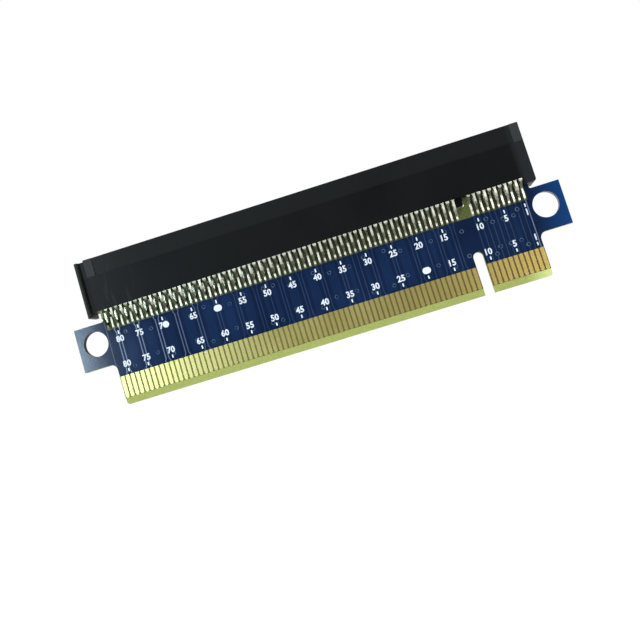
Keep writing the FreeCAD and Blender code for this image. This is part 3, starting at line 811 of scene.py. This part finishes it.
def plastic_finish():
    material, tree, shader, where = new_material("black_glass_filled_plastic")
    low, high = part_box("connector_housing")
    rail_edge = low.x + rail_width
    grain = grained(tree, where, 0.09 * mm, 12 * mm)
    axes = place(tree, "SeparateXYZ", {"Vector": where}).outputs
    drawn = place(tree, "Mapping", {"Vector": where, "Rotation": (0, 0.5, 0),
                                    "Scale": (1.0, 1.0, 0.12)}).outputs["Vector"]
    streak_noise = place(tree, "TexNoise", {"Vector": drawn, "Scale": 1 / (0.5 * mm), "Detail": 2.0})
    sheen_streaks = within(tree, streak_noise.outputs["Fac"], 0.64, 1.0, 0.04)
    skin = blend_colours(tree, grain["Clouds"],
                         (0.0020, 0.0022, 0.0022, 1), (0.0044, 0.0048, 0.0047, 1))
    # Painted sheen: the top band, the right end strip and the end blocks are painted greyer.
    band = within(tree, axes["Z"], high.z - recess_drop, far, 0.05 * mm)
    skin = tinted(tree, skin, band, 0.45, (0.0130, 0.0142, 0.0136, 1))
    last = within(tree, axes["X"], high.x - end_strip, far, 0.6 * mm)
    skin = tinted(tree, skin, last, 0.6, (0.0210, 0.0235, 0.0250, 1))
    for left, right in ((high.x - end_block, far), (rail_edge, rail_edge + end_block)):
        block = reckon(tree, "MULTIPLY", within(tree, axes["X"], left, right, 0.05 * mm), band)
        skin = tinted(tree, skin, block, 0.7, (0.040, 0.043, 0.039, 1))
    clip = within(tree, axes["X"], -far, low.x + clip_width)
    skin = tinted(tree, skin, clip, 0.8, (0.024, 0.030, 0.019, 1))
    # Painted sheen: towards the left end, beside the clip rail, the skin turns greyer in streaks.
    near_rail = ramp(tree, axes["X"], rail_edge, low.x + sheen_width, 1.0, 0.0)
    rail = reckon(tree, "MULTIPLY", near_rail, spread(tree, sheen_streaks, 0.35, 1.0))
    skin = tinted(tree, skin, rail, 0.8, (0.026, 0.029, 0.029, 1))
    tree.links.new(skin, shader.inputs["Base Color"])
    tree.links.new(spread(tree, grain["Clouds"], 0.36, 0.46), shader.inputs["Roughness"])
    roughen(tree, shader, grain["Specks"], 0.35, 0.01 * mm)
    shader.inputs["Specular IOR Level"].default_value = 0.05
    return material


repaint("connector_housing", plastic_finish())

# -------------------------------------------------------------------- the studio
# A pale floor below the part, a white surround, and five lamps: a small bright one off
# to the left front, weaker ones further left and to the right, and two large soft ones
# above and behind. The camera stands low in front, leaning over.

floor_height = -0.075
floor_reach = 3.0


def floor_finish():
    material, tree, shader, _ = new_material("pale_floor")
    shader.inputs["Base Color"].default_value = (0.80, 0.80, 0.80, 1)
    shader.inputs["Roughness"].default_value = 0.9
    rays = place(tree, "LightPath").outputs
    looked_at = reckon(tree, "MAXIMUM", rays["Is Camera Ray"], rays["Is Glossy Ray"])
    shader.inputs["Emission Color"].default_value = (1, 1, 1, 1)
    tree.links.new(spread(tree, looked_at, 0.0, 0.62), shader.inputs["Emission Strength"])
    return material


floor_shape = bmesh.new()
bmesh.ops.create_grid(floor_shape, x_segments=1, y_segments=1, size=floor_reach,
                      matrix=Matrix.Translation((0, 0, floor_height)))
floor_mesh = bpy.data.meshes.new("floor")
floor_shape.to_mesh(floor_mesh)
floor_shape.free()
floor_mesh.materials.append(floor_finish())
floor = bpy.data.objects.new("floor", floor_mesh)
bpy.context.scene.collection.objects.link(floor)

world = bpy.data.worlds.new("surround")
bpy.context.scene.world = world
world.use_nodes = True
surround = world.node_tree
surround.nodes.clear()
rays = place(surround, "LightPath").outputs
seen = reckon(surround, "MAXIMUM", rays["Is Camera Ray"], rays["Is Glossy Ray"])
seen = reckon(surround, "MAXIMUM", seen, rays["Is Transmission Ray"])
soft = place(surround, "Background", {"Color": (0.93, 0.96, 1.0, 1), "Strength": 0.55})
white = place(surround, "Background", {"Color": (1, 1, 1, 1), "Strength": 1.0})
both = place(surround, "MixShader", {0: seen, 1: soft.outputs[0], 2: white.outputs[0]})
place(surround, "OutputWorld", {"Surface": both.outputs[0]})


def add_lamp(name, location, target, power, width, height, colour=(1, 1, 1)):
    """A flat oblong lamp that faces the target, with its power in watts."""
    lamp = bpy.data.lights.new(name, "AREA")
    lamp.shape = "RECTANGLE"
    lamp.color = colour
    lamp.size, lamp.size_y = width, height
    lamp.energy = power
    holder = bpy.data.objects.new(name, lamp)
    holder.location = location
    aim = Vector(target) - Vector(location)
    holder.rotation_euler = aim.to_track_quat("-Z", "Y").to_euler()
    bpy.context.scene.collection.objects.link(holder)


add_lamp("left_lamp", (-0.222, -0.423, 0.045), (-0.075, 0, 0.012),
         power=0.88, width=0.043, height=0.08, colour=(0.66, 0.86, 1.0))
add_lamp("far_left_lamp", (-0.300, -0.400, 0.000), (-0.070, 0, 0.010),
         power=0.25, width=0.08, height=0.08)
add_lamp("right_lamp", (0.115, -0.423, -0.010), (0.010, 0, 0.003),
         power=0.22, width=0.06, height=0.04)
add_lamp("overhead_lamp", (0.05, -0.25, 0.55), (-0.03, 0, 0.014),
         power=1.0, width=0.4, height=0.3)
add_lamp("rear_lamp", (-0.10, 0.45, 0.30), (-0.03, 0, 0.014),
         power=0.8, width=0.4, height=0.3)

camera_data = bpy.data.cameras.new("camera")
camera_data.sensor_width = 36
camera_data.lens = 60.11
camera_data.shift_x, camera_data.shift_y = 0.0775, -0.1302
camera_data.clip_start, camera_data.clip_end = 0.01, 20
camera = bpy.data.objects.new("camera", camera_data)
camera.location = (-0.017, -0.203, -0.004)
camera.rotation_euler = [math.radians(angle) for angle in (97.817, 16.713, 7.696)]
bpy.context.scene.collection.objects.link(camera)
bpy.context.scene.camera = camera
bpy.context.scene.view_settings.view_transform = "Standard"
